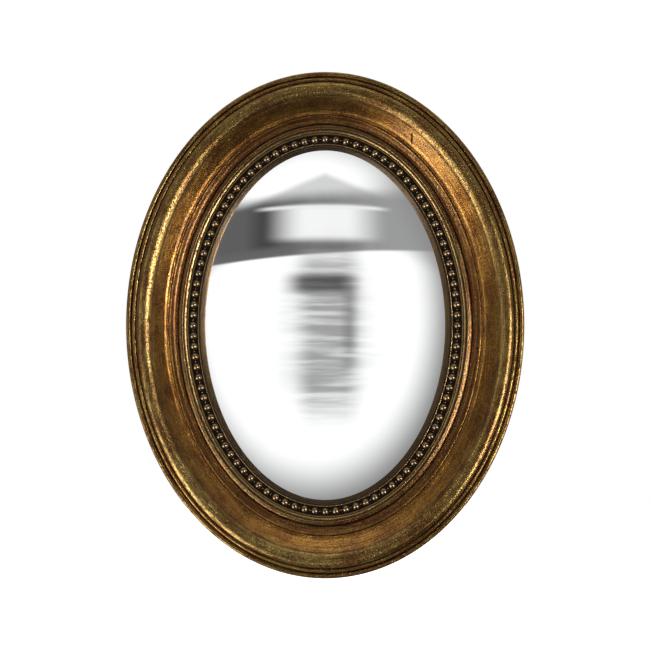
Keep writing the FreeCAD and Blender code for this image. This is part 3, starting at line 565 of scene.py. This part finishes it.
def bead_gilding():
    """The same gold on the beads, with painted shade: bright on their crowns, darkening down their sides to
    nearly black where they meet the strip.
    """
    s = Shader(bpy.data.materials.new("antiqued_gilding_on_beads"))
    hollow, shade = s.attribute("hollow"), s.attribute("bead")
    grain = s.noise(s.where(), 1100.0, 4, 0.6)
    gold = s.mix(shade, tone(86, 65, 34), tone(126, 98, 54))
    glaze_and_shade_depth = s.plus(hollow, s.times(s.minus(grain, 0.5), 0.9))
    # Painted shade on the beads' sides; only the crowns stay bright.
    glaze_and_painted_shade = s.step(glaze_and_shade_depth, -0.15, 0.62)
    gold = s.mix(glaze_and_painted_shade, gold, tone(26, 16, 9))
    return s.set(color=gold, metallic=s.minus(0.95, s.times(glaze_and_painted_shade, 0.9)),
                 rough=s.step(grain, 0.3, 0.8, 0.12, 0.26), normal=s.bump(grain, 0.2, 0.00015),
                 specular=0.15, coat=s.step(glaze_and_shade_depth, 0.4, -0.1, 0.0, 1.0), coat_rough=0.03)


def mirror_silver():
    """Silvered glass: a perfect mirror, slightly greyer where the silver has aged."""
    s = Shader(bpy.data.materials.new("silvered_glass"))
    age = s.noise(s.stretch(s.where(), (30.0, 30.0, 12.0)), 1.0, 5, 0.6, 0.5)
    speck = s.step(s.noise(s.where(), 420.0, 2, 0.5), 0.74, 0.78)
    color = s.mix(s.step(age, 0.4, 0.75), (0.93, 0.935, 0.94), (0.91, 0.912, 0.915))
    color = s.mix(s.times(speck, 0.25), color, (0.45, 0.44, 0.42))
    return s.set(color=color, metallic=1.0, rough=0.0)


def stained_wood(name, pale, dark):
    """Close-grained wood with a worn stain, its grain running across the back."""
    s = Shader(bpy.data.materials.new(name))
    grain = s.noise(s.stretch(s.where(), (18.0, 240.0, 240.0)), 1.0, 6, 0.65, 0.8)
    pores = s.noise(s.stretch(s.where(), (120.0, 1600.0, 1600.0)), 1.0, 3, 0.6)
    color = s.mix(s.step(grain, 0.3, 0.7), dark, pale)
    color = s.mix(s.step(pores, 0.62, 0.75, 0, 0.6), color, tuple(c * 0.35 for c in dark))
    return s.set(color=color, rough=s.step(grain, 0.3, 0.7, 0.72, 0.55),
                 normal=s.bump(s.plus(grain, s.times(pores, -0.5)), 0.35, 0.0003))


def pressed_board():
    """Brown hardboard: fine felted fibres and a few darker flecks."""
    s = Shader(bpy.data.materials.new("brown_hardboard"))
    fibre = s.noise(s.where(), 420.0, 7, 0.7, 1.2)
    cloud = s.noise(s.where(), 14.0, 3, 0.5)
    color = s.mix(s.step(fibre, 0.3, 0.72), (0.20, 0.11, 0.055), (0.37, 0.23, 0.13))
    color = s.mix(s.step(cloud, 0.35, 0.7, 0, 0.35), color, (0.16, 0.085, 0.045))
    flecks = s.step(s.noise(s.where(), 1300.0, 2, 0.5), 0.68, 0.74)
    color = s.mix(flecks, color, (0.09, 0.045, 0.025))
    return s.set(color=color, rough=s.step(fibre, 0.3, 0.7, 0.68, 0.5), normal=s.bump(fibre, 0.25, 0.0002))


def metal(name, color, tarnish, scale):
    """Plain brass, dulled in patches, with fine drawing lines."""
    s = Shader(bpy.data.materials.new(name))
    patch = s.noise(s.where(), 260.0 * scale, 5, 0.6)
    fine = s.noise(s.stretch(s.where(), (900.0, 5200.0, 5200.0)), 1.0, 3, 0.6)
    base = s.mix(s.step(patch, 0.42, 0.70, 0, 0.75), color, tarnish)
    return s.set(color=base, metallic=1.0, rough=s.step(patch, 0.3, 0.75, 0.26, 0.48),
                 normal=s.bump(fine, 0.2, 0.00008))


def soft(name, pale, dark, scale):
    """Felt or pressed card: matted fibres."""
    s = Shader(bpy.data.materials.new(name))
    fibre = s.noise(s.where(), scale, 6, 0.7, 1.5)
    return s.set(color=s.mix(s.step(fibre, 0.3, 0.7), dark, pale), rough=0.95,
                 normal=s.bump(fibre, 0.5, 0.0003))


def dress(node, material):
    """Gives a CAD node that stays its material."""
    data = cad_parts[node].data
    data.materials.clear()
    data.materials.append(material)


back_wood = stained_wood("stained_back", (0.12, 0.07, 0.04), (0.05, 0.027, 0.015))
moulding = make_moulding()
moulding.data.materials.append(gilding())
moulding.data.materials.append(back_wood)
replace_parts(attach(moulding, "root"), "frame_moulding")

beads = make_beads()
beads.data.materials.append(bead_gilding())
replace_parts(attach(beads, "root"), "bead_course")

glass = make_glass()
glass.data.materials.append(mirror_silver())
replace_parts(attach(glass, "root"), "convex_glass")

brass_plate = metal("dull_plate_brass", (0.62, 0.45, 0.20), (0.30, 0.20, 0.09), 1.0)
brass_wire = metal("drawn_wire_brass", (0.66, 0.48, 0.22), (0.36, 0.25, 0.11), 1.6)
brass_screw = metal("turned_screw_brass", (0.60, 0.44, 0.20), (0.27, 0.18, 0.08), 2.2)
dress("base_ring", back_wood)
dress("backing_board", pressed_board())
dress("rebate_felt", soft("dark_felt", (0.07, 0.06, 0.05), (0.03, 0.025, 0.02), 1800.0))
dress("packing_ring", soft("pressed_card", (0.52, 0.42, 0.29), (0.40, 0.31, 0.20), 900.0))
dress("hanger_plate", brass_plate)
dress("hanging_ring", brass_wire)
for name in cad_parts:
    if name.startswith("turn_button_screw") or name.startswith("hanger_screw"):
        dress(name, brass_screw)
    elif name.startswith("turn_button"):
        dress(name, brass_plate)


# Stage: a pale floor well below, a camera a few paces in front, two soft lamps at
# the sides a little below the camera, and a studio round about.
CAMERA_AWAY = 2.6
EDGE_LEVEL = 0.027       # the outer edge's level above the wall
VIEW_WIDTH = 0.4756      # metres across the picture at that level
AIM_X, AIM_Z = -0.00014, 0.00019
SENSOR = 36.0
FLOOR_LEVEL, FLOOR_HALF = -0.75, 12.0
LAMP_AWAY = 1.9


def make_camera():
    """A long lens square to the wall, level with the middle of the mirror."""
    data = bpy.data.cameras.new("camera")
    data.sensor_width = SENSOR
    data.lens = SENSOR * (CAMERA_AWAY - EDGE_LEVEL) / VIEW_WIDTH
    data.clip_start, data.clip_end = 0.05, 100
    made = bpy.data.objects.new("camera", data)
    bpy.context.scene.collection.objects.link(made)
    made.location = (AIM_X, -CAMERA_AWAY, AIM_Z)
    made.rotation_euler = (math.pi / 2, 0, 0)
    bpy.context.scene.camera = made


def toward(azimuth, elevation):
    """The unit vector at an azimuth to the right of the viewer's side and an elevation, in degrees."""
    a, e = math.radians(azimuth), math.radians(elevation)
    return Vector((math.sin(a) * math.cos(e), -math.cos(a) * math.cos(e), math.sin(e)))


def make_lamp(name, azimuth, elevation, wide, tall, radiance):
    """An area lamp that looks at the middle of the mirror, as bright all over as stated."""
    data = bpy.data.lights.new(name, "AREA")
    data.shape, data.size, data.size_y = "RECTANGLE", wide, tall
    data.energy = 4 * wide * tall * radiance      # its radiance is the energy over four times the area
    made = bpy.data.objects.new(name, data)
    bpy.context.scene.collection.objects.link(made)
    made.location = toward(azimuth, elevation) * LAMP_AWAY
    made.rotation_euler = (-made.location).to_track_quat("-Z", "Y").to_euler()


def make_floor():
    """A pale floor that keeps the shadow near the object and goes to white far behind it."""
    mesh = bpy.data.meshes.new("floor")
    corners = ((-1, -1), (1, -1), (1, 1), (-1, 1))
    mesh.from_pydata([(x * FLOOR_HALF, y * FLOOR_HALF, FLOOR_LEVEL) for x, y in corners], [], [(0, 1, 2, 3)])
    s = Shader(bpy.data.materials.new("pale_floor"))
    speck = s.noise(s.where(), 3.0, 3, 0.5)
    material = s.set(color=s.mix(speck, (0.80, 0.80, 0.80), (0.82, 0.82, 0.82)), rough=0.9, specular=0.1)
    away = s.node("VectorMath", {0: s.where()}, operation="LENGTH").outputs["Value"]
    to_camera = s.node("LightPath").outputs["Is Camera Ray"]
    seen = s.times(s.step(away, 1.2, 4.0, 0.40, 1.0), to_camera)
    s.feed(s.surface.inputs["Emission Color"], (1.0, 1.0, 1.0))
    s.feed(s.surface.inputs["Emission Strength"], seen)
    floor = new_object("floor", mesh, material)
    floor.visible_glossy = False


def make_world():
    """White to the camera; a pale room with a grey band and a soft dark patch ahead for the mirror;
    for everything else a plainer studio, dim below, with soft bright patches."""
    world = bpy.data.worlds.new("studio")
    bpy.context.scene.world = world
    s = Shader(world)
    way = s.node("TexCoord").outputs["Generated"]
    light = s.node("LightPath")
    color = s.mix(light.outputs["Is Singular Ray"], surroundings(s, way), mirrored_room(s, way))
    color = s.mix(light.outputs["Is Camera Ray"], color, (1.0, 1.0, 1.0))
    backdrop = s.tree.nodes["Background"]
    s.feed(backdrop.inputs["Color"], color)
    backdrop.inputs["Strength"].default_value = 1.0


def mirrored_room(s, way):
    """The room as the mirror shows it: soft shares of plain greys laid over white.  A direction is
    told by p across and q upward, which run nearly evenly over a bent mirror seen from ahead."""
    x, y, z = s.node("SeparateXYZ", {0: way}).outputs
    spread = s.times(s.minus(1.0, y), 0.5)
    p, q = s.over(x, spread), s.over(z, spread)

    def moved(value, by, factor):
        return s.plus(value, s.times(by, factor))

    def strip(value, low, high, low_blur, high_blur):
        return band(s, value, low - low_blur, low + low_blur, high + high_blur, high - high_blur)

    def patch(p_low, p_high, q_low, q_high, p_blur, q_blur):
        return s.times(strip(p, p_low, p_high, p_blur, p_blur), strip(q, q_low, q_high, q_blur, q_blur))

    def wisps(p_scale, q_scale, seed):
        at = s.node("CombineXYZ", {0: s.times(p, p_scale), 1: s.times(q, q_scale), 2: seed})
        return s.noise(at.outputs[0], 1.0, 3, 0.55)

    lines, blots = wisps(1.2, 30.0, 0.0), wisps(7.0, 2.0, 4.0)
    tilted, roofed = moved(q, p, -0.032), moved(q, s.maths("ABSOLUTE", p), 0.22)
    uneven_grey = grey(s, s.step(moved(p, blots, 0.5), -0.30, 0.85, 0.12, 0.36))
    streaks, dense_streaks = s.step(lines, 0.30, 0.62, 0.30, 0.75), s.step(lines, 0.34, 0.60, 0.42, 0.95)
    rim = length(s, s.over(moved(0.10, p, 1.0), 0.98), s.over(moved(-0.06, q, 1.0), 0.70))

    # Each layer: where it lies and how strongly, and how light it is.
    room = (1.14, 1.14, 1.14)
    for share, value in (
        # A low gable over the grey band, and a shade at its right.
        (s.times(strip(roofed, 0.40, 0.560, 0.05, 0.020), 0.75), 0.55),
        (s.times(strip(q, 0.44, 0.54, 0.03, 0.06), s.step(p, 0.10, 0.70)), 0.50),
        # The grey band, darker at its left and along its foot.
        (strip(tilted, 0.254, 0.476, 0.007, 0.034), uneven_grey),
        (s.times(patch(-0.50, -0.32, 0.262, 0.44, 0.11, 0.03), 0.8), 0.035),
        (s.times(strip(tilted, 0.254, 0.285, 0.007, 0.02), s.step(p, 0.3, 0.1)), 0.14),
        # The light patch in the band, and the bright line over it.
        (patch(-0.29, 0.30, 0.303, 0.430, 0.17, 0.018), 0.98),
        (patch(-0.46, 0.42, 0.420, 0.431, 0.09, 0.008), 0.95),
        # The soft dark patch: faint round about, denser within, with two darker bars.
        (s.times(patch(-0.26, 0.27, -0.24, 0.20, 0.20, 0.10), streaks), 0.62),
        (s.times(patch(-0.16, 0.21, -0.30, 0.25, 0.09, 0.10), dense_streaks), 0.36),
        (s.times(patch(-0.23, 0.18, 0.115, 0.180, 0.10, 0.022), 0.85), 0.055),
        (s.times(patch(0.13, 0.20, -0.13, 0.14, 0.05, 0.07), 0.55), 0.13),
        # Two thin light lines over it.
        (s.times(patch(-0.30, 0.12, 0.036, 0.048, 0.10, 0.007), 0.6), 0.95),
        (s.times(patch(0.06, 0.44, -0.110, -0.100, 0.10, 0.007), 0.6), 0.95),
        # The shade toward the glass's edge, and the plain grey beside and behind the mirror.
        (s.step(rim, 0.72, 1.10), 0.26),
        (s.step(y, -0.05, 0.05), 0.6),
    ):
        room = toned(s, share, room, value)
    return room


# The studio as everything but the mirror sees it: radiance ahead, at the sides, overhead,
# below and behind; then soft bright patches: azimuth, elevation, half-width across and
# outward as sines, radiance.
AHEAD, SIDES, OVERHEAD, BELOW, BEHIND = 0.35, 0.24, 0.50, 0.12, 0.75
GLOWS = (
    (-48, -36, 0.27, 0.44, 6.8),
    (-27, -25, 0.18, 0.12, 2.8),
    (38, -9, 0.24, 0.12, 28.0),
    (-42, 4, 0.24, 0.18, 1.8),
    (0, 66, 0.60, 0.26, 1.5),
)


def surroundings(s, way):
    """The studio as everything but the mirror sees it."""
    x, y, z = s.node("SeparateXYZ", {0: way}).outputs
    room = toned(s, s.step(z, -0.1, -0.6), (SIDES, SIDES, SIDES), BELOW)
    room = toned(s, s.step(z, 0.1, 0.7), room, OVERHEAD)
    room = toned(s, s.step(y, -0.62, -0.86), room, AHEAD)
    room = toned(s, s.step(y, 0.0, 0.4), room, BEHIND)
    ahead = toward(0, 0)
    for azimuth, elevation, wide, tall, radiance in GLOWS:
        centre = toward(azimuth, elevation)
        out = (centre * centre.dot(ahead) - ahead).normalized()
        across, outward = along(s, way, centre.cross(out)), along(s, way, out)
        far = length(s, s.over(across, wide), s.over(outward, tall))
        glow = s.times(s.step(far, 1.25, 0.55), s.step(along(s, way, centre), 0.0, 0.1))
        room = toned(s, glow, room, radiance)
    return room


make_camera()
make_lamp("soft_right", 56, -18, 0.22, 0.70, 10.0)
make_lamp("soft_left", -56, -20, 0.22, 0.50, 12.0)
make_floor()
make_world()

scene = bpy.context.scene
scene.view_settings.view_transform = "Standard"
